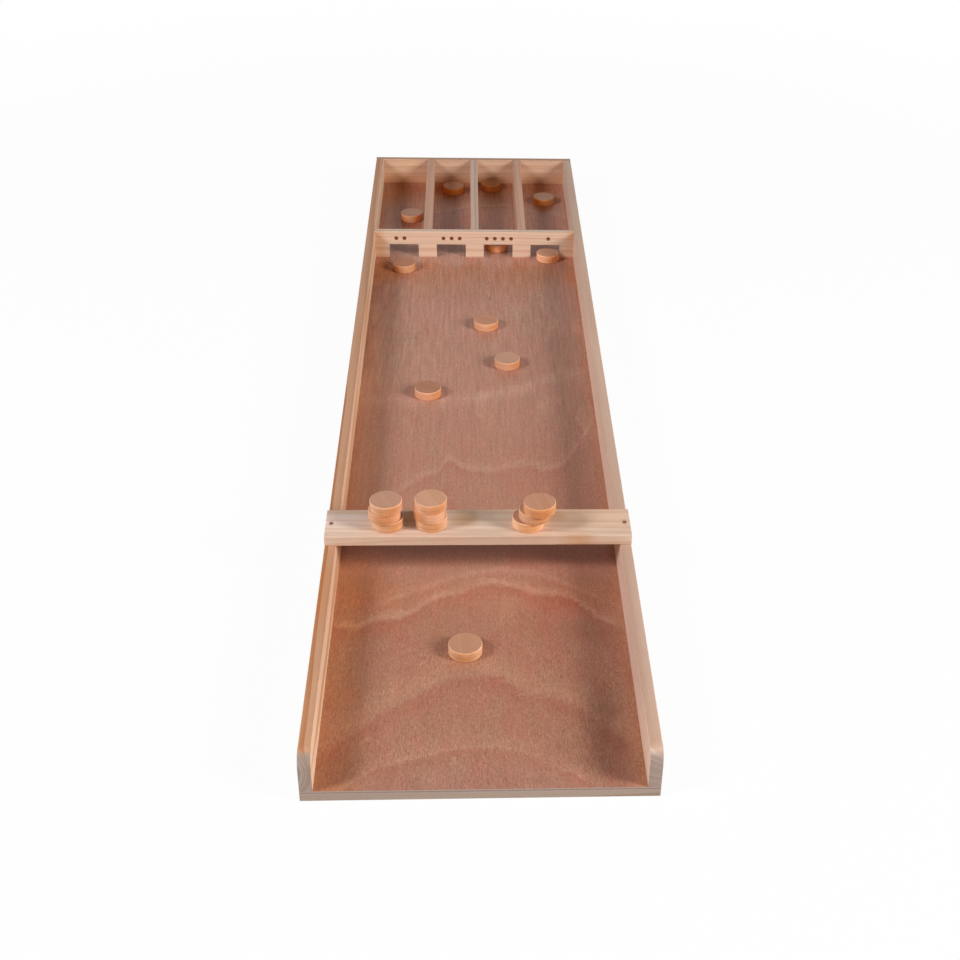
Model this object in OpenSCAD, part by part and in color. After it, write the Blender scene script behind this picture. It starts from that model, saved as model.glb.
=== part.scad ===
// Dutch shuffleboard: a long shallow tray with four numbered gates, a crossbar
// that every disc slides under, and twenty loose wooden discs.
// Millimetres. The origin is on the table under the middle of the board,
// +X is to the player's right, +Y runs from the player to the gates, +Z is up.

/* [Board] */
// Length over the back board
board_l = 1800; // [1500:10:2100]
// Width over the two rails
board_w = 410; // [380:1:480]
// Thickness of the plywood floor
floor_t = 5; // [3:0.5:9]

/* [Rails] */
// Thickness of the side rails
rail_t = 15; // [10:0.5:20]
// Height of the rails, gate board, dividers and back board above the plywood
rail_h = 52.5; // [44:0.5:75]
// Radius of the rounded top corner at the front end of each rail
rail_nose_r = 20; // [4:1:35]
// Radius of the sanded long edges of the boards
edge_r = 1; // [0.3:0.1:2]

/* [Back end] */
// Thickness of the back board
back_t = 12; // [8:0.5:20]
// Depth of the compartments, from the gate board to the back board
comp_l = 359; // [300:1:420]
// Thickness of the three dividers
divider_t = 15; // [8:0.5:18]

/* [Gate board] */
// Thickness of the gate board
gate_t = 12; // [8:0.5:20]
// Width of one gate
gate_w = 55.5; // [50:0.5:65]
// Height of one gate above the plywood
gate_h = 26.5; // [20:0.5:32]
// Distance between the middles of neighbouring gates
gate_pitch = 90; // [80:0.5:104]
// Radius in the top corners of a gate, left by the cutter
gate_corner_r = 1; // [0.5:0.1:3]
// Diameter of a score dot
dot_d = 6.2; // [3:0.1:8]
// Depth of a score dot
dot_depth = 0.6; // [0.4:0.1:2]
// Distance between the middles of the dots in one group
dot_pitch = 15.5; // [10:0.5:17]
// Height of the dots above the top of the gates
dot_rise = 12.2; // [8:0.2:18]

/* [Crossbar] */
// Distance from the front edge of the board to the crossbar
bar_front = 398; // [300:1:500]
// Width of the crossbar
bar_w = 63; // [44:1:80]
// Thickness of the crossbar
bar_t = 15; // [10:0.5:20]
// Radius of the eased edges of the crossbar
bar_edge_r = 1.2; // [0.5:0.1:4]

/* [Battens] */
// Width of the three battens under the board
batten_w = 45; // [30:1:70]
// Thickness of the battens
batten_t = 10; // [8:0.5:20]
// Distance from the back edge of the board to the rear batten
rear_inset = 30; // [30:5:120]

/* [Nails and screws] */
// Diameter of the two nail shanks in the crossbar
bar_nail_d = 2.6; // [2:0.1:3.2]
// Diameter of the two nail heads on the crossbar
bar_nail_head_d = 5.2; // [4:0.1:7]
// Depth of the two nail heads below the top of the crossbar
bar_nail_sink = 0.6; // [0.2:0.1:1]
// Diameter of the other nail shanks
nail_d = 2; // [1.4:0.1:2.6]
// Diameter of the other nail heads
nail_head_d = 3.4; // [3:0.1:4.5]
// Thickness of the nail heads
nail_head_t = 1; // [0.6:0.1:1.5]
// How far a nail reaches into the second piece
nail_bite = 20; // [12:1:28]
// Distance between the nails along each rail
nail_pitch = 280; // [150:10:400]
// Diameter of the screw shanks
screw_d = 3.5; // [3:0.1:4.5]
// Diameter of the countersunk screw heads
screw_head_d = 7; // [6:0.1:8.5]
// Height of the countersunk screw heads
screw_head_h = 2.2; // [1.5:0.1:3]
// How far a screw reaches into the rail
screw_bite = 20; // [12:1:28]
// Depth of the other nail heads and the screw heads below the wood
head_sink = 0.2; // [0.1:0.05:0.5]

/* [Discs] */
// Diameter of a disc
disc_d = 43; // [36:0.5:48]
// Thickness of a disc
disc_h = 14.5; // [10:0.5:18]
// Radius of the turned edge of a disc
disc_edge_r = 1.4; // [0.5:0.1:3]

/* [Disc places] */
// Distance from the front edge of the board to the middle of the front disc
front_disc_in = 240.5; // [200:0.5:280]
// Distances from the face of the gate board to the middles of the discs before it
lane_left_before = 527.5; // [490:0.5:560]
lane_right_before = 429; // [400:0.5:460]
lane_middle_before = 288.5; // [250:0.5:320]
gate_1_before = 54; // [45:0.5:90]
gate_4_before = 7; // [2:0.5:20]

/* [Clearances] */
// Air under a disc that lies on wood or on another disc
rest_gap = 0.05; // [0.02:0.01:0.2]
// Least air between a disc and a wall beside it
side_gap = 0.6; // [0.3:0.1:1]
// Air round a nail or screw in its hole, on the radius
hole_gap = 0.05; // [0.02:0.01:0.15]

/* [Hidden] */
$fn = 64;

GATES = 4;
// Dots over the gates, from the player's left
SCORES = [2, 3, 4, 1];
// How far the middle of each group of dots lies from the middle of its gate
DOT_SHIFT = [-6.8, 0.8, 1.2, 5.8];
// How far a cutter runs past a face, so that it cuts clean
OVER = 1;
// The two kinds of nail: shank, head and how deep the head is sunk
NAIL = [nail_d, nail_head_d, head_sink];
BAR_NAIL = [bar_nail_d, bar_nail_head_d, bar_nail_sink];

// Colours of the woods and the steel
PINE = [0.80, 0.61, 0.46];
PALE_PINE = [0.90, 0.80, 0.67];
PEACH_PINE = [0.87, 0.69, 0.55];
PLYWOOD = [0.68, 0.48, 0.39];
BATTEN_WOOD = [0.74, 0.60, 0.48];
BEECH = [0.80, 0.56, 0.37];
DARK_STEEL = [0.27, 0.21, 0.17];

// Levels
z_floor = batten_t + floor_t;
z_top = z_floor + rail_h;
z_bar = z_top + bar_t;
z_gate = z_floor + gate_h;

// Places along the board
y_front = -board_l / 2;
y_back = board_l / 2;
y_back_in = y_back - back_t;
y_gate_back = y_back_in - comp_l;
y_gate = y_gate_back - gate_t;
y_bar = y_front + bar_front;
y_bar_mid = y_bar + bar_w / 2;
y_front_batten = y_front + batten_w / 2;
y_rear_batten = y_back - rear_inset - batten_w / 2;

// Places across the board
x_out = board_w / 2;
x_in = x_out - rail_t;
x_rail = (x_out + x_in) / 2;

// Middles of the gates and dividers, and the two sides of a compartment
function gate_x(i) = (i - (GATES - 1) / 2) * gate_pitch;
function divider_x(i) = (i - (GATES - 2) / 2) * gate_pitch;
function comp_left(i) = i == 0 ? -x_in : divider_x(i - 1) + divider_t / 2;
function comp_right(i) = i == GATES - 1 ? x_in : divider_x(i) - divider_t / 2;

// How far a disc's middle may go from the middle of a space of width w
function play(w) = (w - disc_d) / 2 - side_gap;

// Where a disc lies in a compartment, across and along, as shares of its play from -1 to 1
function in_comp(i, across, along) = [
    (comp_left(i) + comp_right(i)) / 2 + across * play(comp_right(i) - comp_left(i)),
    (y_gate_back + y_back_in) / 2 + along * play(comp_l)
];

// Where a disc lies in line with a gate, a distance in front of the gate board
function at_gate(i, across, before) = [gate_x(i) + across * play(gate_w), y_gate - before];

// Where a disc lies in the open lane, a distance in front of the gate board
function in_lane(across, before) = [across * play(2 * x_in), y_gate - before];

// The discs on the floor
COMP_1_DISC = in_comp(0, 0.73, -0.07);
COMP_2_DISC = in_comp(1, 0.15, 0.84);
COMP_3_DISC = in_comp(2, -0.57, 0.955);
COMP_3_FRONT_DISC = in_comp(2, -0.14, -0.96);
COMP_4_DISC = in_comp(3, 0.02, 0.49);
GATE_1_DISC = at_gate(0, 0.18, gate_1_before);
GATE_4_DISC = at_gate(3, 0.96, gate_4_before);
LANE_RIGHT_DISC = in_lane(0.311, lane_right_before);
LANE_MIDDLE_DISC = in_lane(0.109, lane_middle_before);
LANE_LEFT_DISC = in_lane(-0.47, lane_left_before);
FRONT_DISC = [-0.108 * play(2 * x_in), y_front + front_disc_in];

// The stacks on the crossbar: the middle of each, as a share of half the bar's length,
// and how far each disc lies from there, from the lowest up
LEFT_STACK_X = -0.6 * x_out;
MIDDLE_STACK_X = -0.311 * x_out;
RIGHT_STACK_X = 0.366 * x_out;
LEFT_STACK = [[1.1, -3.6], [-2.4, -6.1], [0, -7.8]];
MIDDLE_STACK = [[0.1, -2.5], [-1.6, -4.1], [0, -4.6]];
RIGHT_STACK = [[-8.6, -4.9], [-0.1, -7.4], [6.1, -13.4]];

// Nails from below, as points on the plywood's underside
nails_per_half = floor((y_rear_batten - batten_w / 2 - nail_head_d) / nail_pitch - 0.5) + 1;
RAIL_NAILS = [
    for (side = [-1, 1], half = [-1, 1], i = [0:nails_per_half - 1])
        [side * x_rail, half * (i + 0.5) * nail_pitch]
];
GATE_NAILS = [for (i = [0:GATES - 2]) [divider_x(i), (y_gate + y_gate_back) / 2]];
DIVIDER_NAILS = [for (i = [0:GATES - 2], share = [0.25, 0.75]) [divider_x(i), y_gate_back + share * comp_l]];
BACK_NAILS = [for (i = [0:GATES - 2]) [divider_x(i), (y_back_in + y_back) / 2]];
FLOOR_NAILS = concat(RAIL_NAILS, GATE_NAILS, DIVIDER_NAILS, BACK_NAILS);

// Heights, as shares of a rail's height, of the nails into the ends of the boards
END_NAIL_SHARES = [0.55, 0.85];

// The screws through the battens, as points on the table
BATTEN_SCREWS = [for (side = [-1, 1], y = [y_front_batten, 0, y_rear_batten]) [side * x_rail, y]];

// Outline of a rectangle from the origin, with its two upper corners rounded
module arched(w, h, r) {
    square([w, h - r]);
    translate([r, 0]) square([w - 2 * r, h]);
    for (x = [r, w - r]) translate([x, h - r]) circle(r);
}

// Outline of a rectangle from the origin, with all four corners rounded
module eased(w, h, r) {
    translate([0, r]) square([w, h - 2 * r]);
    translate([r, 0]) square([w - 2 * r, h]);
    for (x = [r, w - r], y = [r, h - r]) translate([x, y]) circle(r);
}

// Extrudes an outline of Y and Z along X, centred on X
module along_x(l) {
    translate([-l / 2, 0, 0]) rotate([90, 0, 90]) linear_extrude(l) children();
}

// Extrudes an outline of X and Z along +Y, from y = 0
module along_y(l) {
    translate([0, l, 0]) rotate([90, 0, 0]) linear_extrude(l) children();
}

// A nail driven down from a face at z = 0, through a piece of the given thickness
module nail(kind, through) {
    shank = kind[0];
    sink = kind[2];
    length = through + nail_bite;
    tip = 1.5 * shank;
    translate([0, 0, -sink - nail_head_t]) cylinder(h = nail_head_t, d = kind[1]);
    translate([0, 0, tip - length]) cylinder(h = length - tip - sink - nail_head_t, d = shank);
    translate([0, 0, -length]) cylinder(h = tip, d1 = shank / 5, d2 = shank);
}

// The hole that such a nail leaves
module nail_hole(kind, through) {
    seat = kind[2] + nail_head_t + hole_gap;
    length = through + nail_bite + hole_gap;
    translate([0, 0, -seat]) cylinder(h = seat + OVER, d = kind[1] + 2 * hole_gap);
    translate([0, 0, -length]) cylinder(h = length, d = kind[0] + 2 * hole_gap);
}

// A countersunk screw driven down from a face at z = 0, through pieces of the given thickness
module screw(through) {
    length = through + screw_bite;
    tip = 1.5 * screw_d;
    translate([0, 0, -head_sink - screw_head_h]) cylinder(h = screw_head_h, d1 = screw_d, d2 = screw_head_d);
    translate([0, 0, tip - length]) cylinder(h = length - tip - head_sink - screw_head_h, d = screw_d);
    translate([0, 0, -length]) cylinder(h = tip, d1 = screw_d / 5, d2 = screw_d);
}

// The countersunk hole that such a screw leaves
module screw_hole(through) {
    length = through + screw_bite + hole_gap;
    bore = screw_d + 2 * hole_gap;
    mouth = screw_head_d + 2 * hole_gap;
    translate([0, 0, -head_sink]) cylinder(h = head_sink + OVER, d = mouth);
    translate([0, 0, -head_sink - screw_head_h]) cylinder(h = screw_head_h, d1 = bore, d2 = mouth);
    translate([0, 0, -length]) cylinder(h = length, d = bore);
}

// Turns what is driven down so that it is driven up, from a face at height z
module from_below(points, z) {
    for (p = points) translate([p[0], p[1], z]) rotate([180, 0, 0]) children();
}

// The same, driven towards the player from the back board's outer face into the rails
module from_behind() {
    for (side = [-1, 1], share = END_NAIL_SHARES)
        translate([side * x_rail, y_back, z_floor + share * rail_h]) rotate([-90, 0, 0]) children();
}

// The same, driven inwards from the rails' outer faces into the ends of the gate board
module from_sides() {
    for (side = [-1, 1], share = END_NAIL_SHARES)
        translate([side * x_out, (y_gate + y_gate_back) / 2, z_floor + share * rail_h])
            rotate([0, side * 90, 0]) children();
}

// The same, driven down through both ends of the crossbar
module from_above() {
    for (side = [-1, 1]) translate([side * x_rail, y_bar_mid, z_bar]) children();
}

module floor_panel() {
    color(PLYWOOD)
    difference() {
        translate([-x_out, y_front, batten_t]) cube([board_w, board_l, floor_t]);
        from_below(FLOOR_NAILS, batten_t) nail_hole(NAIL, floor_t);
        from_below(BATTEN_SCREWS, 0) screw_hole(z_floor);
    }
}

// A rail is cut to its side view, with the round nose at the player's end,
// and its long top edges are sanded
module rail(side) {
    length = y_back_in - y_front;
    color(PINE)
    difference() {
        translate([side * x_rail, y_front, z_floor])
        intersection() {
            along_x(rail_t) {
                square([length, rail_h - rail_nose_r]);
                translate([rail_nose_r, 0]) square([length - rail_nose_r, rail_h]);
                translate([rail_nose_r, rail_h - rail_nose_r]) circle(rail_nose_r);
            }
            along_y(length) translate([-rail_t / 2, 0]) arched(rail_t, rail_h, edge_r);
        }
        from_below([for (p = RAIL_NAILS) if (p[0] * side > 0) p], batten_t) nail_hole(NAIL, floor_t);
        from_below([for (p = BATTEN_SCREWS) if (p[0] * side > 0) p], 0) screw_hole(z_floor);
        from_behind() nail_hole(NAIL, back_t);
        from_sides() nail_hole(NAIL, rail_t);
        from_above() nail_hole(BAR_NAIL, bar_t);
    }
}

module left_rail() { rail(-1); }
module right_rail() { rail(1); }

module back_board() {
    color(PINE)
    difference() {
        translate([0, y_back_in, z_floor]) along_x(board_w) arched(back_t, rail_h, edge_r);
        from_below(BACK_NAILS, batten_t) nail_hole(NAIL, floor_t);
        from_behind() nail_hole(NAIL, back_t);
    }
}

// The board that scores: four gates cut up from its lower edge, and dots over each
module gate_board() {
    color(PEACH_PINE)
    difference() {
        translate([0, y_gate, z_floor]) along_x(2 * x_in) arched(gate_t, rail_h, edge_r);
        for (i = [0:GATES - 1]) {
            translate([gate_x(i) - gate_w / 2, y_gate - OVER, z_floor - OVER])
                along_y(gate_t + 2 * OVER) arched(gate_w, gate_h + OVER, gate_corner_r);
            translate([gate_x(i) + DOT_SHIFT[i], y_gate + dot_depth, z_gate + dot_rise])
                for (k = [0:SCORES[i] - 1])
                    translate([(k - (SCORES[i] - 1) / 2) * dot_pitch, 0, 0])
                        rotate([90, 0, 0]) cylinder(h = dot_depth + OVER, d = dot_d);
        }
        from_below(GATE_NAILS, batten_t) nail_hole(NAIL, floor_t);
        from_sides() nail_hole(NAIL, rail_t);
    }
}

module divider(i) {
    color(PINE)
    difference() {
        translate([divider_x(i) - divider_t / 2, y_gate_back, z_floor])
            along_y(comp_l) arched(divider_t, rail_h, edge_r);
        from_below([for (p = DIVIDER_NAILS) if (p[0] == divider_x(i)) p], batten_t) nail_hole(NAIL, floor_t);
    }
}

module left_divider() { divider(0); }
module middle_divider() { divider(1); }
module right_divider() { divider(2); }

module crossbar() {
    color(PALE_PINE)
    difference() {
        translate([0, y_bar, z_top]) along_x(board_w) eased(bar_w, bar_t, bar_edge_r);
        from_above() nail_hole(BAR_NAIL, bar_t);
    }
}

// A batten lies across the underside, with its two lower edges sanded
module batten(y) {
    color(BATTEN_WOOD)
    difference() {
        translate([0, y - batten_w / 2, batten_t]) mirror([0, 0, 1])
            along_x(board_w) arched(batten_w, batten_t, edge_r);
        from_below([for (p = BATTEN_SCREWS) if (p[1] == y) p], 0) screw_hole(z_floor);
    }
}

module front_batten() { batten(y_front_batten); }
module middle_batten() { batten(0); }
module rear_batten() { batten(y_rear_batten); }

module crossbar_nails() { color(DARK_STEEL) from_above() nail(BAR_NAIL, bar_t); }
module gate_board_nails() { color(DARK_STEEL) from_sides() nail(NAIL, rail_t); }
module back_board_nails() { color(DARK_STEEL) from_behind() nail(NAIL, back_t); }
module batten_screws() { color(DARK_STEEL) from_below(BATTEN_SCREWS, 0) screw(z_floor); }
module floor_nails() { color(DARK_STEEL) from_below(FLOOR_NAILS, batten_t) nail(NAIL, floor_t); }

// A turned disc with both rims rounded, lying on a face at height z
module disc(at, z) {
    color(BEECH)
    translate([at[0], at[1], z + rest_gap]) rotate_extrude() {
        square([disc_d / 2 - disc_edge_r, disc_h]);
        translate([0, disc_edge_r]) square([disc_d / 2, disc_h - 2 * disc_edge_r]);
        for (y = [disc_edge_r, disc_h - disc_edge_r])
            translate([disc_d / 2 - disc_edge_r, y]) circle(disc_edge_r);
    }
}

// Disc number i, from 1 at the bottom, of a stack whose middle is at x along the crossbar
module stack_disc(x, stack, i) {
    disc([x, y_bar_mid] + stack[i - 1], z_bar + (i - 1) * (disc_h + rest_gap));
}

floor_panel();
left_rail();
right_rail();
back_board();
gate_board();
left_divider();
middle_divider();
right_divider();
crossbar();
front_batten();
middle_batten();
rear_batten();
crossbar_nails();
floor_nails();
gate_board_nails();
back_board_nails();
batten_screws();
disc(FRONT_DISC, z_floor);  // front_disc
disc(LANE_LEFT_DISC, z_floor);  // lane_left_disc
disc(LANE_MIDDLE_DISC, z_floor);  // lane_middle_disc
disc(LANE_RIGHT_DISC, z_floor);  // lane_right_disc
disc(GATE_1_DISC, z_floor);  // gate_1_disc
disc(GATE_4_DISC, z_floor);  // gate_4_disc
disc(COMP_1_DISC, z_floor);  // comp_1_disc
disc(COMP_2_DISC, z_floor);  // comp_2_disc
disc(COMP_3_DISC, z_floor);  // comp_3_disc
disc(COMP_3_FRONT_DISC, z_floor);  // comp_3_front_disc
disc(COMP_4_DISC, z_floor);  // comp_4_disc
stack_disc(LEFT_STACK_X, LEFT_STACK, 1);  // left_stack_disc_1
stack_disc(LEFT_STACK_X, LEFT_STACK, 2);  // left_stack_disc_2
stack_disc(LEFT_STACK_X, LEFT_STACK, 3);  // left_stack_disc_3
stack_disc(MIDDLE_STACK_X, MIDDLE_STACK, 1);  // middle_stack_disc_1
stack_disc(MIDDLE_STACK_X, MIDDLE_STACK, 2);  // middle_stack_disc_2
stack_disc(MIDDLE_STACK_X, MIDDLE_STACK, 3);  // middle_stack_disc_3
stack_disc(RIGHT_STACK_X, RIGHT_STACK, 1);  // right_stack_disc_1
stack_disc(RIGHT_STACK_X, RIGHT_STACK, 2);  // right_stack_disc_2
stack_disc(RIGHT_STACK_X, RIGHT_STACK, 3);  // right_stack_disc_3
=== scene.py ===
"""The finished look of a dutch shuffleboard: a veneered floor, pine rails, four gates and twenty turned discs.

Every length is in metres in the board's own frame, +Z up and +Y towards the gates, unless a name ends in _mm.
"""

import logging
import math
from dataclasses import dataclass, replace
from enum import Enum

import bpy
import numpy as np
from mathutils import Matrix, Vector


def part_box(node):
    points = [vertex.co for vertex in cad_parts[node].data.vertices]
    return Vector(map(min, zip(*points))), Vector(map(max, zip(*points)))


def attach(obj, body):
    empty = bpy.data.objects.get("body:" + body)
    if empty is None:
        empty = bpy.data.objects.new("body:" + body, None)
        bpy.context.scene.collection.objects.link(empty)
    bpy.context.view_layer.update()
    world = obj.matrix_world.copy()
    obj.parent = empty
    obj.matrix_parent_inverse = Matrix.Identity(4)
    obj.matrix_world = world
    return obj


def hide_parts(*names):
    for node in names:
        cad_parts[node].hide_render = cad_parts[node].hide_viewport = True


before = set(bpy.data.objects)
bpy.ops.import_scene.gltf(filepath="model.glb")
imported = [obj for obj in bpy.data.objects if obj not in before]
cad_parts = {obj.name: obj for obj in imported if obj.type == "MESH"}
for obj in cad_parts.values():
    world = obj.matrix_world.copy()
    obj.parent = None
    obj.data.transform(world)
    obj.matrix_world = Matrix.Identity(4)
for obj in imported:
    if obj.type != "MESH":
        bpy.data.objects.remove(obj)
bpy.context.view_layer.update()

LOG = logging.getLogger("shuffleboard")
Pair = tuple[float, float]
Triple = tuple[float, float, float]
Colour = tuple[float, float, float, float]

MM = 0.001
WHITE = (1.0, 1.0, 1.0, 1.0)
# Noise on the veneer has grains this deep, so that it hardly changes through the sheet.
DEEP_MM = 900.0
# The shine of lacquered wood. A stronger one mirrors the pale room and greys the wood.
SHEEN = 0.12


def display(red: float, green: float, blue: float) -> Colour:
    """Turns a colour as a screen shows it, 0 to 255, into linear light.

    Args:
        red, green, blue: the screen's values.

    Returns:
        The linear colour with an alpha of 1.
    """
    screen = np.array([red, green, blue]) / 255
    linear = np.where(screen <= 0.04045, screen / 12.92, ((screen + 0.055) / 1.055) ** 2.4)
    return (*linear.tolist(), 1.0)


class Grain(Enum):
    """The way a board's fibres run, as the turn about Z that brings them to the frame's Y."""

    ALONG_Y = 0.0
    ALONG_X = 90.0


class Flow:
    """What flows out of a node: a number, a place or a colour that changes over a surface."""

    def __init__(self, recipe: "Recipe", socket: bpy.types.NodeSocket) -> None:
        """Keeps the recipe and the node's output."""
        self.recipe = recipe
        self.socket = socket

    def math(self, operation: str, *others: "Feed", clamp: bool = False) -> "Flow":
        """Adds a Math node, whose result is kept from 0 to 1 if clamp is set."""
        return self.recipe.flow("Math", dict(enumerate((self, *others))), operation=operation, use_clamp=clamp)

    def vector(self, operation: str, *others: "Feed") -> "Flow":
        """Adds a Vector Math node."""
        inputs = dict(enumerate((self, *others)))
        return self.recipe.flow("VectorMath", inputs, int(operation == "LENGTH"), operation=operation)

    def __add__(self, other: "Feed") -> "Flow":
        """Adds a number."""
        return self.math("ADD", other)

    def __sub__(self, other: "Feed") -> "Flow":
        """Takes a number off."""
        return self.math("SUBTRACT", other)

    def __mul__(self, other: "Feed") -> "Flow":
        """Multiplies by a number."""
        return self.math("MULTIPLY", other)

    def __truediv__(self, other: "Feed") -> "Flow":
        """Divides by a number."""
        return self.math("DIVIDE", other)

    def __abs__(self) -> "Flow":
        """Drops the sign."""
        return self.math("ABSOLUTE")

    def part(self, axis: int) -> "Flow":
        """One part of a place or a direction: 0 for X, 1 for Y and 2 for Z."""
        return self.recipe.flow("SeparateXYZ", {0: self}, axis)

    def rise(self, low: float, high: float) -> "Flow":
        """A soft step: 0 below low, 1 above high, an S between, and the other way round if low > high."""
        inputs = {"Value": self, "From Min": low, "From Max": high}
        return self.recipe.flow("MapRange", inputs, interpolation_type="SMOOTHSTEP")

    def swing(self, amount: float) -> "Flow":
        """Turns noise from 0 to 1 into a factor about 1, from 1 - amount to 1 + amount."""
        return self * (2 * amount) + (1 - amount)

    def blend(self, first: "Feed", second: "Feed", way: str = "MIX") -> "Flow":
        """Mixes two colours, with this share of the second."""
        return self.recipe.flow("Mix", {0: self, 6: first, 7: second}, 2, data_type="RGBA", blend_type=way)

    def tinted(self, share: "Flow", tint: Colour) -> "Flow":
        """Multiplies this colour by a tint, with share of the effect."""
        return share.blend(self, tint, "MULTIPLY")

    def spells(self, detail: float) -> "Flow":
        """Soft noise from 0 to 1 along a line, with grains one unit long."""
        return self.recipe.flow("TexNoise", {"W": self, "Scale": 1.0, "Detail": detail}, noise_dimensions="1D")

    def noise(
        self, sizes_mm: Pair | Triple, detail: float = 2.0, roughness: float = 0.5, curl: float = 0.0,
        output: int = 0,
    ) -> "Flow":
        """Soft noise from 0 to 1 at this place, whose grains have their own size along each axis.

        Args:
            sizes_mm: the grains' size along each axis, without the third where little changes in depth.
            detail: how many finer layers it has.
            roughness: how strong the finer layers are.
            curl: how far its grains are bent.
            output: 0 for one noise, 1 for three side by side.

        Returns:
            The noise.
        """
        sizes = (*sizes_mm, DEEP_MM)[:3]
        grains = self.vector("MULTIPLY", tuple(1 / size for size in sizes))
        inputs = {"Vector": grains, "Scale": 1.0, "Detail": detail, "Roughness": roughness, "Distortion": curl}
        return self.recipe.flow("TexNoise", inputs, output)


Feed = Flow | float | Triple | Colour
Inputs = dict[int | str, Feed]


class Recipe:
    """The node tree of a material or a world, with short ways to add nodes and join them."""

    def __init__(self, owner: bpy.types.Material | bpy.types.World) -> None:
        """Empties the owner's tree.

        Args:
            owner: the material or world that the tree is for.
        """
        owner.use_nodes = True
        self.owner = owner
        self.tree = owner.node_tree
        self.tree.nodes.clear()

    @classmethod
    def named(cls, name: str) -> "Recipe":
        """Starts a new material."""
        return cls(bpy.data.materials.new(name))

    def node(self, kind: str, inputs: Inputs | None = None, **settings: object) -> bpy.types.Node:
        """Adds a node.

        Args:
            kind: the node's type after ShaderNode.
            inputs: what goes into its sockets, by name or number: a flow to join, or a value.
            **settings: the node's own properties.

        Returns:
            The node.
        """
        node = self.tree.nodes.new("ShaderNode" + kind)
        for name, value in settings.items():
            setattr(node, name, value)
        for socket, value in (inputs or {}).items():
            if isinstance(value, Flow):
                self.tree.links.new(value.socket, node.inputs[socket])
            else:
                node.inputs[socket].default_value = value
        return node

    def flow(self, kind: str, inputs: Inputs | None = None, output: int | str = 0, **settings: object) -> Flow:
        """Adds a node as node() does, and gives the output of that name or number."""
        return Flow(self, self.node(kind, inputs, **settings).outputs[output])

    def place(self) -> Flow:
        """The place in the frame, in mm."""
        return self.flow("TexCoord", output="Object").vector("MULTIPLY", (1 / MM,) * 3)

    def facing(self, axis: int) -> Flow:
        """How squarely the surface faces along an axis, from -1 to 1."""
        return self.flow("TexCoord", output="Normal").part(axis)

    def direct(self) -> Flow:
        """Tells the camera's rays, and those that gloss and glass send on, from all others.

        Returns:
            1 for those rays, and otherwise 0.
        """
        seen = self.node("LightPath").outputs
        names = ("Is Camera Ray", "Is Glossy Ray", "Is Transmission Ray")
        camera, gloss, glass = (Flow(self, seen[name]) for name in names)
        return camera.math("MAXIMUM", gloss.math("MAXIMUM", glass))

    def surface(
        self, colour: Flow, roughness: Flow, relief: Flow, depth_mm: float, gloss: float = 0.5,
        metal: float = 0.0,
    ) -> bpy.types.Material:
        """Ends the recipe with its shader.

        Args:
            colour: the surface's colour.
            roughness: how matt it is.
            relief: the height of its fine relief, about 0 to 1.
            depth_mm: how deep that relief is.
            gloss: the level of its mirror light.
            metal: how metallic it is.

        Returns:
            The material.
        """
        bump = self.flow("Bump", {"Height": relief, "Distance": depth_mm * MM, "Strength": 1.0})
        inputs = {"Base Color": colour, "Roughness": roughness, "Normal": bump}
        inputs |= {"Specular IOR Level": gloss, "Metallic": metal}
        self.node("OutputMaterial", {"Surface": self.flow("BsdfPrincipled", inputs)})
        return self.owner


class Tint(Enum):
    """What the colour is multiplied by in a patch of wood. Patches of DUSK paint shadows, those of LIGHT and
    CREAM lift shade with painted light, and many of ORANGE, AMBER, GOLD and HONEY paint warm shade; the other
    tints mostly change the wood's tone.
    """

    DUSK = (0.68, 0.59, 0.57, 1.0)
    ROSE = (1.02, 0.93, 0.92, 1.0)
    TAN = (1.06, 0.98, 0.85, 1.0)
    MOSS = (0.94, 1.02, 0.98, 1.0)
    ORANGE = (0.90, 0.74, 0.56, 1.0)
    GOLD = (1.12, 0.94, 0.74, 1.0)
    LIGHT = (1.15, 1.14, 1.10, 1.0)
    CREAM = (1.25, 1.27, 1.42, 1.0)
    HONEY = (0.97, 0.86, 0.77, 1.0)
    PEACH = (0.91, 0.86, 0.82, 1.0)
    COOL = (0.88, 0.95, 1.02, 1.0)
    MAUVE = (0.95, 0.97, 1.07, 1.0)
    AMBER = (1.0, 0.83, 0.64, 1.0)


@dataclass(frozen=True)
class Patch:
    """A soft patch in a piece of wood: of another tone in some places, of painted light and shade in others.

    Attributes:
        tint: its tint.
        across, along: where its middle lies across and along the board, in mm.
        wide, long: how far it reaches from there, in mm.
        strength: how strongly it shows.
    """

    tint: Tint
    across: float
    along: float
    wide: float
    long: float
    strength: float

    def over(self, colour: Flow, place: Flow, unrest: Flow) -> Flow:
        """Tints a colour where the patch lies, less towards its ragged edge.

        Args:
            colour: the colour so far.
            place: the place in mm.
            unrest: how far the edge strays there, as a share of the patch's reach.

        Returns:
            The colour with the patch.
        """
        scale = (1 / self.wide, 1 / self.long, 0.0)
        shift = (-self.across / self.wide, -self.along / self.long, 0.0)
        distance = place.vector("MULTIPLY_ADD", scale, shift).vector("LENGTH")
        return colour.tinted((distance + unrest).rise(1.0, 0.1) * self.strength, self.tint.value)


def patches(**groups: list[tuple[float, float, float, float, float]]) -> tuple[Patch, ...]:
    """Lays out patches, tint by tint.

    Args:
        **groups: under each tint's name its patches, as Patch takes them after the tint.

    Returns:
        The patches.
    """
    return tuple(Patch(Tint[name], *numbers) for name, group in groups.items() for numbers in group)


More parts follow.
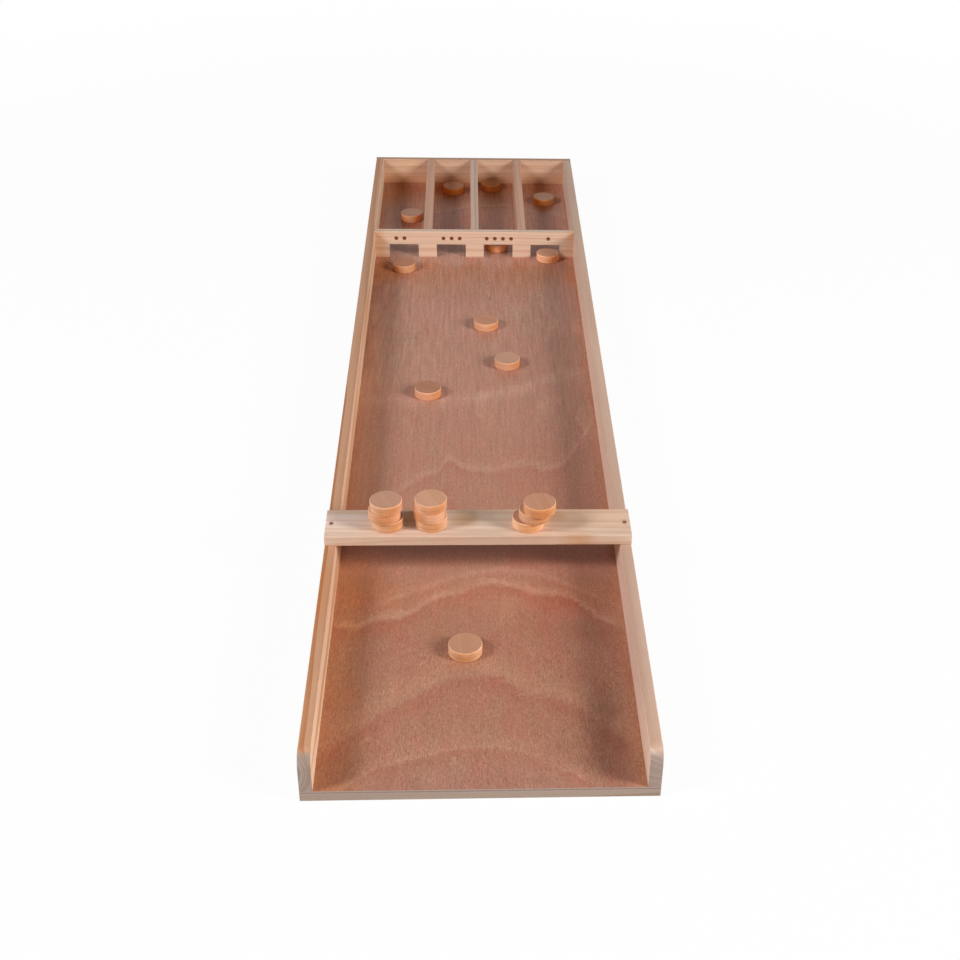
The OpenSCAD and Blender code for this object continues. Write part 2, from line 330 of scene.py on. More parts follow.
@dataclass(frozen=True)
class Species:
    """What a kind of wood looks like.

    Attributes:
        early, late: the colours of a year ring's soft, wide part and of its dense edge.
        end_tint: what the colour is multiplied by where fibres end.
        top_tint: what it is multiplied by on upper faces: painted shade that keeps them darker and greyer than
            the sides.
        ring_mm, late_share: a ring's width, and how much of it its dense edge takes.
        wander_mm: how far the rings stray from true circles.
        fibre, tone, fleck: how strongly the fibres, slow changes of tone and short flecks show.
        fleck_mm: the size of a fleck across and along the fibres.
        sawn: how strongly the fine rings show where fibres end.
        end_from: how squarely a surface cuts the fibres where its end grain starts and is full.
        roughness, relief_mm: how matt the sanded surface is, and how deep its fine relief.
    """

    early: Colour
    late: Colour
    end_tint: Colour = (0.47, 0.55, 0.68, 1.0)
    top_tint: Colour = (0.90, 0.88, 0.88, 1.0)
    ring_mm: float = 4.0
    late_share: float = 0.45
    wander_mm: float = 5.0
    fibre: float = 0.10
    tone: float = 0.12
    fleck: float = 0.10
    fleck_mm: Pair = (0.5, 7.0)
    sawn: float = 0.9
    end_from: Pair = (0.2, 0.5)
    roughness: float = 0.52
    relief_mm: float = 0.05


@dataclass(frozen=True)
class Wood:
    """A piece of solid wood: its kind, and how it lay in the log.

    Attributes:
        name: the material's name.
        species: the kind of wood.
        grain: the way its fibres run.
        heart_mm: where the log's heart lies from the frame's origin, across the fibres and in depth.
        lean: how far the log's axis leans from the board's, in degrees, in the board's face and in its depth.
        lathed: whether it is a turned disc, whose corners hold their place in the log.
        patches: soft patches of another tone, and of painted light and shade, placed in the frame.
        foot: the tint of painted shade at its foot on the player's side, darker and warmer towards the floor.
    """

    name: str
    species: Species
    grain: Grain = Grain.ALONG_Y
    heart_mm: Pair = (0.0, -60.0)
    lean: Pair = (0.0, 0.0)
    lathed: bool = False
    patches: tuple[Patch, ...] = ()
    foot: Tint | None = None

    def place(self, recipe: Recipe) -> tuple[Flow, Flow]:
        """Where a point lay in its log, with the fibres along Y.

        Args:
            recipe: the material's nodes.

        Returns:
            The place in mm, and how squarely the surface cuts the fibres, 0 to 1.
        """
        if self.lathed:
            timber = recipe.flow("Attribute", output="Vector", attribute_name="timber")
            return timber, recipe.flow("Attribute", output="Fac", attribute_name="end_grain")
        turn = tuple(math.radians(angle) for angle in (self.lean[1], 0.0, self.grain.value + self.lean[0]))
        inputs = {"Vector": recipe.flow("TexCoord", output="Object"), "Rotation": turn, "Scale": (1 / MM,) * 3}
        inputs["Location"] = (-self.heart_mm[0], 0.0, -self.heart_mm[1])
        facing = {"Vector": recipe.flow("TexCoord", output="Normal"), "Rotation": turn}
        normal = recipe.flow("Mapping", facing, vector_type="NORMAL")
        return recipe.flow("Mapping", inputs), abs(normal.part(1)).rise(*self.species.end_from)

    def patched(self, colour: Flow) -> Flow:
        """Tints a colour where the piece has patches of another tone and of painted light and shade, and
        paints shade at its foot.

        Args:
            colour: the colour so far.

        Returns:
            The colour with the patches.
        """
        recipe = colour.recipe
        place = recipe.place()
        unrest = place.noise((34, 34, 34)) * 0.5 - 0.25
        # Patches of tone and of painted light and shade.
        for patch in self.patches:
            colour = patch.over(colour, place, unrest)
        if self.foot is None:
            return colour
        # Painted shade: faces towards the player get darker and warmer towards the floor.
        soaked = recipe.facing(1).rise(0.0, -0.8) * place.part(2).rise(46.0, 20.0)
        return colour.tinted(soaked * 0.8, self.foot.value)

    def lathe_marks(self, place: Flow) -> Flow:
        """The rings that a lathe tool leaves round a disc's side, and a painted highlight on its rounded
        edges.

        Args:
            place: the place in the log, in mm.

        Returns:
            A factor about 1.
        """
        tip = abs(place.recipe.facing(2))
        rings = (place.noise((300, 300, 1.8), roughness=0.7) - 0.5) * tip.rise(0.9, 0.5)
        # Painted highlight: the rounded edges are made paler, as if they caught the light.
        rim = tip.rise(0.1, 0.45) * tip.rise(0.99, 0.85)
        return rings * 0.75 + rim * 0.16 + 1.0

    def rings(self, radius: Flow, end: Flow) -> Flow:
        """How dense the wood is, from the early wood's 0 to the late wood's 1.

        A ring's tone rises slowly from its soft start to its dense edge and drops back at once. Its place is
        the distance from the heart over the ring's width, and good and bad spells of years shift it.

        Args:
            radius: the distance from the log's heart, in mm.
            end: how squarely the surface cuts the fibres.

        Returns:
            The density.
        """
        kind = self.species
        years_in_spell, most_shift = 3.1, 2.2
        year = radius / kind.ring_mm + (radius / (years_in_spell * kind.ring_mm)).spells(1.0) * most_shift
        phase = year.math("FRACT")
        luck = year.recipe.flow("TexWhiteNoise", {"W": year.math("FLOOR")}, noise_dimensions="1D")
        edge = phase.rise(1 - 1.7 * kind.late_share, 0.93) * phase.rise(1.0, 0.94)
        return edge * (luck * 0.75 + 0.25) * (end * -0.5 + 1.0)

    def material(self) -> bpy.types.Material:
        """Builds the wood: year rings about the log's heart, fibres, flecks and slow changes of tone.

        Slow noise has bent the log, so its rings are nearly circles and its fibres nearly straight.

        Returns:
            The material.
        """
        kind = self.species
        recipe = Recipe.named(self.name)
        place, end = self.place(recipe)
        bend = place.noise((70, 520, 70), output=1).vector("SUBTRACT", (0.5, 0.5, 0.5))
        log = place.vector("ADD", bend.vector("MULTIPLY", (2 * kind.wander_mm,) * 3))
        radius = log.vector("MULTIPLY", (1, 0, 1)).vector("LENGTH")
        dense = self.rings(radius, end)
        long_fibre = log.noise((2.2, 190, 2.2), detail=3.0, roughness=0.6)
        fine_fibre = log.noise((0.45, 24, 0.45), roughness=0.6)
        tone = log.noise((60, 420, 60), detail=1.0)
        across, along = kind.fleck_mm
        fleck = log.noise((across, along, across), detail=1.0).rise(0.62, 0.75)
        sawn = ((radius / 1.7).spells(2.0) - 0.5) * end
        # Painted shade: upper faces are tinted darker and greyer than the sides.
        colour = dense.blend(kind.early, kind.late).tinted(recipe.facing(2).rise(0.75, 0.96), kind.top_tint)
        colour = self.patched(colour.tinted(end, kind.end_tint))
        factor = long_fibre.swing(1.3 * kind.fibre) * fine_fibre.swing(kind.fibre) * tone.swing(kind.tone)
        factor = factor * (fleck * -kind.fleck + 1.0) * (sawn * kind.sawn + 1.0)
        if self.lathed:
            factor = factor * self.lathe_marks(place)
        rough = fine_fibre * 0.2 + (kind.roughness - 0.1)
        relief = dense * 0.5 + fine_fibre * 0.5
        return recipe.surface(colour.vector("MULTIPLY", factor), rough, relief, kind.relief_mm, SHEEN)


class Run(Enum):
    """The way a growth line runs over the floor, as the number of the axis it follows."""

    ACROSS = 0
    ALONG = 1


@dataclass(frozen=True)
class GrowthLine:
    """One growth line of the peeled veneer: a pale ripple with tan wood on one side and red wood on the other.

    Attributes:
        points_mm: places that it passes through, across and along the board.
        run: the way it runs.
        ripple_mm: half the pale ripple's width.
        tan_mm: how far the tan wood reaches past it.
        red_mm: how far the red wood reaches before it.
        pale, tan, red: how strongly each shows.
        soft: how softly they meet, 1 where the line is crisp.
    """

    points_mm: tuple[Pair, ...]
    run: Run = Run.ACROSS
    ripple_mm: float = 9.0
    tan_mm: float = 36.0
    red_mm: float = 40.0
    pale: float = 0.5
    tan: float = 0.5
    red: float = 0.5
    soft: float = 1.0

    def curve(self, place: Flow) -> Flow:
        """The line's own place, in mm, at a place along its run: a smooth curve through its points.

        Args:
            place: the place along its run, in mm.

        Returns:
            The line's place across its run.
        """
        points = np.array(self.points_mm)[:, [self.run.value, 1 - self.run.value]]
        points = points[np.argsort(points[:, 0])]
        low, high = points.min(axis=0), points.max(axis=0) + 1e-3
        share = (points - low) / (high - low)
        recipe = place.recipe
        span = {"Value": place, "From Min": low[0], "From Max": high[0]}
        node = recipe.node("FloatCurve", {"Value": recipe.flow("MapRange", span)})
        spots = node.mapping.curves[0].points
        spots[0].location, spots[1].location = share[0], share[-1]
        for spot in share[1:-1]:
            spots.new(*spot)
        node.mapping.update()
        return Flow(recipe, node.outputs[0]) * (high[1] - low[1]) + low[1]

    def shares(self, places: tuple[Flow, Flow], clear: Flow) -> tuple[Flow, Flow, Flow]:
        """How much pale, tan and red wood the line brings to a point.

        Args:
            places: the point's place across and along the board, in mm, already rippled.
            clear: how clearly growth lines show at the point.

        Returns:
            The three shares.
        """
        place = places[self.run.value]
        first, last = sorted(point[self.run.value] for point in (self.points_mm[0], self.points_mm[-1]))
        past = places[1 - self.run.value] - self.curve(place)
        kept = place.rise(first - 1, first + 30) * place.rise(last + 1, last - 30) * clear
        ripple = abs(past).rise(self.ripple_mm, 0.0)
        beyond = past.rise(self.tan_mm, 0.0) * past.rise(-4.0 * self.soft, 5.0 * self.soft)
        before = past.rise(-self.red_mm, -4.0) * past.rise(3.0, -7.0 * self.soft)
        parts = ((ripple, self.pale), (beyond, self.tan), (before, self.red))
        return tuple(part * strength * kept for part, strength in parts)


VENEER_LINES = (
    GrowthLine(
        ((-200, -940), (-140, -880), (-115, -860), (-60, -843), (-5, -830), (60, -848), (105, -876),
         (200, -960)),
        ripple_mm=6, pale=0.35, tan=0.45, red=0.35, red_mm=26, soft=1.5,
    ),
    GrowthLine(
        ((-200, -845), (-150, -800), (-105, -756), (-60, -726), (-35, -706), (12, -700), (45, -726),
         (100, -752), (150, -798), (200, -860)),
        ripple_mm=14, pale=0.1, tan=0.85, tan_mm=70, red=0.7, red_mm=52, soft=3.0,
    ),
    GrowthLine(
        ((-200, -598), (-160, -605), (-140, -593), (-108, -586), (-88, -576), (-72, -559), (-50, -542),
         (-20, -530), (5, -516), (32, -515), (60, -523), (80, -537), (112, -543), (136, -563),
         (162, -594), (200, -612)),
        ripple_mm=12, pale=0.62, tan=0.35, red=0.65, red_mm=50,
    ),
    GrowthLine(((-142, -588), (-122, -578), (-92, -579)), ripple_mm=6, pale=0.5, tan=0.0, red=0.0),
    GrowthLine(
        ((-150, -575), (-60, -520), (0, -492), (60, -494), (120, -522), (200, -590)),
        ripple_mm=13, pale=0.3, tan=0.3, red=0.3, red_mm=18,
    ),
    GrowthLine(
        ((-150, -320), (-118, -291), (-84, -254), (-58, -236), (-41, -204), (-26, -223), (4, -233),
         (28, -238), (50, -223), (82, -221), (104, -231), (122, -226), (140, -196), (156, -164), (200, -40)),
        ripple_mm=15, pale=0.4, tan=0.3, red=0.4, soft=1.6,
    ),
    GrowthLine(
        ((-200, -26), (-150, -30), (-80, -37), (-20, -27), (12, -17), (40, -6), (75, 8), (105, 28),
         (150, 58), (200, 70)),
        ripple_mm=34, pale=0.36, tan=0.15, red=0.2, red_mm=30, soft=1.6,
    ),
    GrowthLine(
        ((-128, 400), (-146, 330), (-165, 262), (-171, 137), (-165, 62), (-148, -30)),
        run=Run.ALONG, ripple_mm=8, pale=0.1, tan=0.2, tan_mm=20, red=0.5, red_mm=16,
    ),
    GrowthLine(((182, -30), (162, -80), (168, -130), (160, -180)), run=Run.ALONG, ripple_mm=4, red_mm=14),
    GrowthLine(
        ((112, 420), (118, 330), (130, 250), (128, 180)), run=Run.ALONG, ripple_mm=4, pale=0.2, red_mm=12
    ),
    GrowthLine(
        ((-200, 690), (-60, 738), (40, 768), (110, 748), (200, 700)), ripple_mm=12, pale=0.3, red_mm=30
    ),
)
# AMBER, ORANGE, GOLD and HONEY patches paint warm shade in the compartments, before the gates and by the
# rails, and the three small AMBER patches before the gate posts paint the posts' reflections.
# Patches on the veneer. Most DUSK patches paint shadows, above all those of the rails.
# ROSE, TAN, MOSS, PEACH and MAUVE patches shift the wood's tone over wide areas.
# The larger LIGHT patches are painted light that lifts the shade by the left rail, before the crossbar and in
# the compartments; the two small ones are pale spots in the wood.
VENEER_PATCHES = patches(
    DUSK=[
        (152, -850, 44, 125, 0.66), (146, -765, 34, 75, 0.6), (150, -625, 36, 45, 0.4),
        (142, -250, 28, 190, 0.15), (-166, -872, 34, 60, 0.3), (-160, 300, 30, 220, 0.5),
        (-184, 370, 34, 170, 0.6), (-188, 220, 18, 230, 0.5), (27, 340, 5, 12, 0.9), (-160, 715, 60, 80, 0.4),
    ],
    ROSE=[(112, -420, 110, 440, 1.0), (60, -640, 150, 90, 0.6)],
    TAN=[(-90, 430, 110, 110, 0.7), (95, 440, 90, 110, 0.9), (-150, -500, 60, 200, 0.8)],
    MOSS=[(-120, 130, 60, 150, 0.8), (90, 250, 60, 110, 0.6), (20, 130, 70, 70, 0.6)],
    LIGHT=[
        (-180, -690, 36, 290, 1.0), (0, -540, 230, 60, 0.6), (-162, -520, 48, 120, 1.0),
        (-146, -800, 24, 130, 0.9), (-95, 40, 16, 16, 0.5), (10, -14, 22, 18, 0.4), (0, 720, 100, 110, 1.0),
    ],
    MAUVE=[(0, -900, 230, 70, 1.0), (-165, -800, 36, 60, 1.0), (-165, -550, 40, 60, 1.6)],
    HONEY=[(120, -545, 60, 40, 0.4), (-160, 715, 80, 120, 1.0), (140, 620, 60, 150, 0.8)],
    PEACH=[(20, -680, 300, 260, 0.42), (0, 400, 230, 150, 0.9)],
    AMBER=[
        (0, 860, 260, 70, 1.0), (-70, 845, 40, 60, 1.0), (-142, 850, 44, 60, 1.0),
        (146, 695, 60, 100, 0.8), (0, 690, 110, 60, 0.4), (-130, 700, 60, 170, 0.6),
        (-176, 440, 56, 110, 1.0), (-90, 472, 44, 24, 0.5), (0, 472, 44, 24, 0.5), (90, 472, 44, 24, 0.5),
    ],
    ORANGE=[(-70, 845, 40, 60, 1.0), (146, 865, 44, 60, 0.8), (-45, 650, 44, 150, 1.0)],
    GOLD=[(184, 420, 26, 80, 0.8), (45, 690, 44, 170, 0.9)],
)


@dataclass(frozen=True)
class Veneer:
    """The floor's plywood: reddish peeled veneer above and below, and plies that show at its edges.

    Attributes:
        name: the material's name.
        face: the veneer's middle colour.
        pale, tan, red: its colours in the ripples, past them and before them.
        front_tint: what its colours are multiplied by at the player's end.
        rose, moss: its tints in slow changes of hue.
        left_edge, right_edge: its tints beside the rails: painted light that each rail reflects onto the
            floor.
        ply_light, ply_dark: the colours of the plies at the edge.
        inner_half_mm: half the width between the rails.
    """

    name: str = "veneer_plywood"
    face: Colour = display(183, 131, 109)
    pale: Colour = display(206, 160, 139)
    tan: Colour = display(195, 146, 120)
    red: Colour = display(180, 115, 94)
    front_tint: Colour = (0.94, 0.90, 0.84, 1.0)
    rose: Colour = (1.03, 0.98, 0.985, 1.0)
    moss: Colour = (0.97, 1.02, 1.0, 1.0)
    left_edge: Colour = (0.98, 0.895, 0.72, 1.0)
    right_edge: Colour = (1.07, 1.06, 1.01, 1.0)
    ply_light: Colour = display(176, 154, 143)
    ply_dark: Colour = display(151, 125, 111)
    inner_half_mm: float = 190.0

    def colour_of_wood(self, place: Flow) -> Flow:
        """The wood's colour: growth lines, patches of tone and of painted light and shade, slow changes of
        hue, and painted light that the rails throw onto the floor beside them.

        Args:
            place: the place in mm.

        Returns:
            The colour.
        """
        across, along = place.part(0), place.part(1)
        wave = (place.noise((46, 46), detail=1.0) * 16.0 - 8.0) + (place.noise((11, 6)) * 14.0 - 7.0)
        places = (across + wave, along + wave)
        clear = place.noise((50, 36), detail=3.0).math("MULTIPLY_ADD", 2.6, -0.35, clamp=True)
        shares = zip(*(line.shares(places, clear) for line in VENEER_LINES))
        pale, tan, red = (sum(share[1:], share[0]).math("MINIMUM", 1.0) for share in shares)
        cloud = place.noise((80, 150), detail=3.0, roughness=0.6)
        colour = (cloud.rise(0.55, 0.75) * 0.7).blend(self.face, self.tan)
        colour = (cloud.rise(0.45, 0.25) * 0.6).blend(colour, self.red)
        for share, kind in ((tan, self.tan), (red, self.red), (pale, self.pale)):
            colour = share.blend(colour, kind)
        unrest = place.noise((26, 40), detail=3.0) * 0.9 - 0.45
        # The patches paint shadows, lifted shade, warm shade and the posts' reflections as well as tone.
        for patch in VENEER_PATCHES:
            colour = patch.over(colour, place, unrest)
        hue = place.noise((26, 60)).rise(0.3, 0.7)
        colour = colour.tinted(along.rise(150.0, -650.0), self.front_tint)
        colour = colour.vector("MULTIPLY", hue.blend(self.rose, self.moss))
        # Painted light by the rails: orange light from the left rail and paler light from the right one.
        unsteady = across + (cloud * 22.0 - 11.0)
        left = unsteady.rise(58 - self.inner_half_mm, 24 - self.inner_half_mm)
        right = unsteady.rise(self.inner_half_mm - 26, self.inner_half_mm - 2)
        return colour.tinted(left, self.left_edge).tinted(right, self.right_edge)

    def face_colour(self, place: Flow) -> tuple[Flow, Flow]:
        """The face's colour: the wood's own, with streaks, dashes, threads and a curly speckle.

        A pattern lightens or darkens the wood by its height about a half times its strength. Its red changes a
        little less than its green, and its blue a little more.

        Args:
            place: the place in mm.

        Returns:
            The colour, and the fine part of the pattern from about 0 to 1.
        """
        along = place.part(1)
        far = along.rise(-450.0, 250.0)
        calm = along.rise(-700.0, -500.0) * -0.36 + 1.0
        lively = place.noise((48, 80)).rise(0.25, 0.7)
        streak = place.noise((6, 240))
        dash = place.noise((4.8, 66), roughness=0.55, curl=0.5)
        thread = place.noise((1.7, 9.0), detail=1.0, roughness=0.6, curl=0.6)
        speckle = place.noise((2.0, 3.5), detail=1.0, roughness=0.6, curl=0.6)
        worm = place.noise((5.0, 10.0), detail=1.0, curl=1.2)
        patterns = (
            (streak, 0.16),
            (dash, far * 0.60 + 0.22),
            (thread, (lively * 0.55 + 0.36) * calm),
            (speckle, (far * -0.4 + 0.64) * calm),
            (worm, calm * 0.33),
        )
        first, *others = [(pattern - 0.5) * strength for pattern, strength in patterns]
        change = sum(others, first).vector("MULTIPLY_ADD", (0.75, 1.0, 1.12), (1.0, 1.0, 1.0))
        return self.colour_of_wood(place).vector("MULTIPLY", change), (thread + speckle) * 0.5

    def edge_colour(self, place: Flow) -> Flow:
        """The edge's colour: a darker ply between two light ones, rough with torn fibres.

        Args:
            place: the place in mm.

        Returns:
            The colour.
        """
        middle = (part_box("floor_panel")[0].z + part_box("floor_panel")[1].z) / 2 / MM
        ply = abs(place.part(2) - middle).rise(1.0, 0.7)
        torn = place.noise((1.2, 1.2, 0.3)).swing(0.2)
        return ply.blend(self.ply_light, self.ply_dark).vector("MULTIPLY", torn)

    def material(self) -> bpy.types.Material:
        """Builds the plywood: veneer on its faces and plies on its edges.

        Returns:
            The material.
        """
        recipe = Recipe.named(self.name)
        place = recipe.place()
        face, fine = self.face_colour(place)
        flat = abs(recipe.facing(2)).rise(0.4, 0.8)
        return recipe.surface(flat.blend(self.edge_colour(place), face), fine * 0.12 + 0.20, fine, 0.04, SHEEN)


@dataclass(frozen=True)
class Mottled:
    """A finish that changes softly between two colours.

    Attributes:
        name: the material's name.
        first, second: its colours.
        grain_mm: the size of its spots.
        rough: how matt it is in the first colour, and how much more in the second.
        relief_mm: how deep its fine relief is.
        metal: how metallic it is.
    """

    name: str
    first: Colour
    second: Colour
    grain_mm: float
    rough: Pair
    relief_mm: float
    metal: float = 0.0

    def material(self) -> bpy.types.Material:
        """Builds the finish, with soft spots.

        Returns:
            The material.
        """
        recipe = Recipe.named(self.name)
        spots = recipe.place().noise((self.grain_mm,) * 3, detail=3.0, roughness=0.6)
        rough = spots * self.rough[1] + self.rough[0]
        colour = spots.blend(self.first, self.second)
        return recipe.surface(colour, rough, spots, self.relief_mm, metal=self.metal)


@dataclass(frozen=True)
class StagePaint:
    """The studio floor: pale, and as bright as paper to the camera apart from the object's shadow.

    The camera sees the shadow's share of its lit shade near the object, and less of it over the reach.
    """

    name: str = "studio_floor"
    shade: float = 0.94
    shadow_share: float = 0.055
    reach_m: Pair = (1.2, 2.6)

    def material(self) -> bpy.types.Material:
        """Builds the floor: matt to the light, and mostly plain white to the camera and in reflections.

        Returns:
            The material.
        """
        recipe = Recipe.named(self.name)
        near = recipe.flow("TexCoord", output="Object").vector("LENGTH").rise(*self.reach_m[::-1])
        share = recipe.direct() * (near * -self.shadow_share + 1.0)
        matt = recipe.flow("BsdfDiffuse", {"Color": (self.shade,) * 3 + (1.0,)})
        white = recipe.flow("Emission", {"Color": WHITE, "Strength": 1.0})
        recipe.node("OutputMaterial", {"Surface": recipe.flow("MixShader", {0: share, 1: matt, 2: white})})
        return recipe.owner


def mesh_piece(name: str, points: np.ndarray, faces: list, body: str) -> bpy.types.Object:
    """Makes a smooth-shaded piece that rides on a body.

    Args:
        name: the piece's name.
        points: its corners, one row each.
        faces: its faces, as lists of corner numbers that run anticlockwise seen from outside.
        body: the body it rides on.

    Returns:
        The object.
    """
    mesh = bpy.data.meshes.new(name)
    mesh.from_pydata(points, [], faces)
    mesh.shade_smooth()
    mesh.update()
    piece = bpy.data.objects.new(name, mesh)
    bpy.context.scene.collection.objects.link(piece)
    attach(piece, body)
    return piece


def revolved(profile: np.ndarray, around: int) -> tuple[np.ndarray, list]:
    """Turns a profile about the Z axis into a closed surface.

    A profile point (r, z) goes to (r cos a, r sin a, z) for each angle a. The first and last points have r = 0
    and become one corner each.

    Args:
        profile: rows of (r, z), from the top of the axis outwards and down to its foot.
        around: how many steps the turn has.

    Returns:
        The corners, and the faces.
    """
    angle = np.linspace(0, 2 * np.pi, around, endpoint=False)
    radius, height = profile[1:-1, 0, None], profile[1:-1, 1, None]
    rings = np.stack([radius * np.cos(angle), radius * np.sin(angle), height + 0 * angle], axis=-1)
    poles = [[0.0, 0.0, profile[0, 1]], [0.0, 0.0, profile[-1, 1]]]
    points = np.vstack([rings.reshape(-1, 3), poles])
    count = len(profile) - 2
    here = np.arange(around)
    after = (here + 1) % around
    row = np.arange(count - 1)[:, None] * around
    sides = np.stack([row + here, row + around + here, row + around + after, row + after], axis=-1)
    top = np.stack([np.full(around, count * around), here, after], axis=-1)
    last = (count - 1) * around
    foot = np.stack([np.full(around, count * around + 1), last + after, last + here], axis=-1)
    return points, sides.reshape(-1, 4).tolist() + top.tolist() + foot.tolist()


def give(piece: bpy.types.Object, name: str, kind: str, part: str, values: np.ndarray) -> None:
    """Stores values at a piece's corners, in the part of an attribute that its kind keeps them in."""
    attribute = piece.data.attributes.new(name, kind, "POINT")
    attribute.data.foreach_set(part, values.astype(np.float32).ravel())


def dress(node: str, material: bpy.types.Material) -> None:
    """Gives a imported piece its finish.

    Args:
        node: the piece's node.
        material: the finish.
    """
    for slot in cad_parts[node].material_slots:
        slot.material = material
    LOG.info("dressed %s in %s", node, material.name)


GATE_PINE = Species(
    display(233, 203, 177), display(219, 175, 144), top_tint=(0.84, 0.88, 0.96, 1.0),
    ring_mm=5.5, fibre=0.13, tone=0.08,
)
BACK_PINE = Species(
    display(221, 183, 155), display(209, 166, 134), top_tint=(0.62, 0.58, 0.57, 1.0),
    ring_mm=12.0, wander_mm=12.0, tone=0.2,
)
RAIL_LEFT = Species(
    display(230, 197, 168), display(206, 154, 112), end_tint=(0.44, 0.48, 0.58, 1.0),
    top_tint=(0.72, 0.56, 0.48, 1.0), ring_mm=9.0, wander_mm=7.0, end_from=(0.3, 0.7),
)
RAIL_RIGHT = Species(
    display(231, 202, 183), display(219, 184, 161), end_tint=(0.44, 0.445, 0.47, 1.0),
    top_tint=(0.77, 0.71, 0.66, 1.0), ring_mm=11.0, wander_mm=6.0, fibre=0.08, end_from=(0.4, 0.9),
)
CREAM_PINE = Species(
    display(231, 204, 183), display(218, 182, 154), top_tint=WHITE,
    ring_mm=7.0, wander_mm=11.0, fibre=0.05, tone=0.07,
)
GREY_PINE = Species(display(210, 183, 164), display(194, 160, 140), ring_mm=8.0)
WARM_PINE = Species(display(205, 163, 138), display(189, 143, 118), ring_mm=8.0)
BATTEN_WOOD = Species(display(168, 147, 131), display(156, 132, 114), ring_mm=7.0)
BEECH = Species(
    display(236, 183, 146), display(230, 172, 130), end_tint=(0.83, 0.65, 0.48, 1.0),
    ring_mm=3.4, late_share=0.5, wander_mm=2.0, fibre=0.07, tone=0.06, fleck=0.16, fleck_mm=(0.8, 3.6),
    sawn=0.2, roughness=0.36,
)
# The nails' and screws' steel, browned by rust, and the paint, thicker in some places than in others.
DULL_STEEL = Mottled("dull_steel", display(136, 100, 78), display(86, 60, 44), 0.9, (0.3, 0.3), 0.05, 0.25)
SCORE_PAINT = Mottled("score_paint", display(144, 74, 28), display(108, 50, 17), 1.1, (0.4, 0.2), 0.08)

# On the rails, the AMBER and DUSK patches near the far end of the left rail's inner face paint warm shade; the
# other patches tint the rails lighter at the front ends, cooler towards the back, and in long strips
# elsewhere.
LEFT_PATCHES = patches(
    LIGHT=[(-197, -900, 60, 190, 0.6), (-206, -720, 22, 260, 0.6)],
    COOL=[(-197, 560, 60, 560, 0.8)],
    AMBER=[(-200, -600, 12, 130, 0.8), (-188, 230, 4, 190, 1.0)],
    DUSK=[(-188, 230, 6, 180, 0.4)],
    MAUVE=[(-188, -200, 6, 150, 0.8)],
)
RIGHT_PATCHES = patches(
    LIGHT=[(197, -900, 60, 190, 0.6), (206, -720, 22, 280, 1.1)],
    MAUVE=[(206, -720, 22, 280, 1.0)],
    PEACH=[(186, -720, 12, 260, 0.55), (199, 200, 9, 210, 0.8)],
    DUSK=[(197, 760, 60, 220, 0.2)],
    COOL=[(197, 780, 60, 400, 0.6)],
)
# On the crossbar, CREAM at the left end is painted light that lifts the left stack's shadow; HONEY behind the
# right stack and ORANGE between and beside the stacks and at the front face's right end paint warm shade.
# PEACH and the long DUSK strip paint shade along the front of the top; the two small DUSK patches darken the
# wood round the nails.
CROSSBAR_PATCHES = patches(
    CREAM=[(-190, -464, 75, 30, 0.9)],
    HONEY=[(150, -462, 170, 60, 0.9)],
    PEACH=[(0, -505, 330, 22, 1.0)],
    DUSK=[(-50, -494, 190, 8, 0.3), (-197.5, -470.5, 4.5, 8.0, 1.5), (197.5, -470.5, 4.5, 8.0, 1.5)],
    ORANGE=[
        (-94, -458, 18, 26, 1.0), (-20, -462, 28, 26, 0.9), (106, -456, 20, 20, 0.7), (132, -503, 34, 6, 0.8),
    ],
)
# Painted warm shade at both ends of the gate board, beside the rails.
GATE_PATCHES = patches(ORANGE=[(-184, 510, 20, 30, 0.9), (186, 510, 16, 30, 0.7)])
# Painted light that lifts the shade on the back board by the left rail.
BACK_PATCHES = patches(LIGHT=[(-145, 888, 64, 30, 1.0)])
ACROSS, ALONG = Grain.ALONG_X, Grain.ALONG_Y
BOARDS = {
    "left_rail": Wood("left_rail_pine", RAIL_LEFT, ALONG, (-236, 28), (0.5, 0.9), patches=LEFT_PATCHES),
    "right_rail": Wood("right_rail_pine", RAIL_RIGHT, ALONG, (228, 114), (0.1, 0.2), patches=RIGHT_PATCHES),
    # The back board's AMBER foot is painted shade near the floor.
    "back_board": Wood(
        "back_board_pine", BACK_PINE, ACROSS, (-872, 2), (0.5, 1.1), patches=BACK_PATCHES, foot=Tint.AMBER
    ),
    "gate_board": Wood("gate_board_pine", GATE_PINE, ACROSS, (-470, 12), (0.4, 0.9), patches=GATE_PATCHES),
    "left_divider": Wood("left_divider_pine", WARM_PINE, ALONG, (-60, 30), (0.2, 0.4)),
    "middle_divider": Wood("middle_divider_pine", GREY_PINE, ALONG, (34, 36), (0.3, -0.4)),
    "right_divider": Wood("right_divider_pine", WARM_PINE, ALONG, (58, 20), (-0.3, 0.4)),
    "crossbar": Wood("crossbar_pine", CREAM_PINE, ACROSS, (440, 30), (0.8, 0.7), patches=CROSSBAR_PATCHES),
    "front_batten": Wood("batten_wood", BATTEN_WOOD, ACROSS, (800, -30), (0.4, 0.5)),
    "middle_batten": Wood("mid_batten_wood", BATTEN_WOOD, ACROSS, (60, -30), (0.3, 0.5)),
    "rear_batten": Wood("rear_batten_wood", BATTEN_WOOD, ACROSS, (-900, -40), (0.5, 0.2)),
}


@dataclass
class Timberwork:
    """The boards that are nailed up into the tray: floor, rails, gates, dividers, crossbar and battens."""

    fasteners: tuple[str, ...] = (
        "crossbar_nails", "floor_nails", "gate_board_nails", "back_board_nails", "batten_screws"
    )

    def build(self) -> None:
        """Dresses each board, nail and screw."""
        dress("floor_panel", Veneer().material())
        for node, finish in BOARDS.items():
            dress(node, finish.material())
        steel = DULL_STEEL.material()
        for node in self.fasteners:
            dress(node, steel)


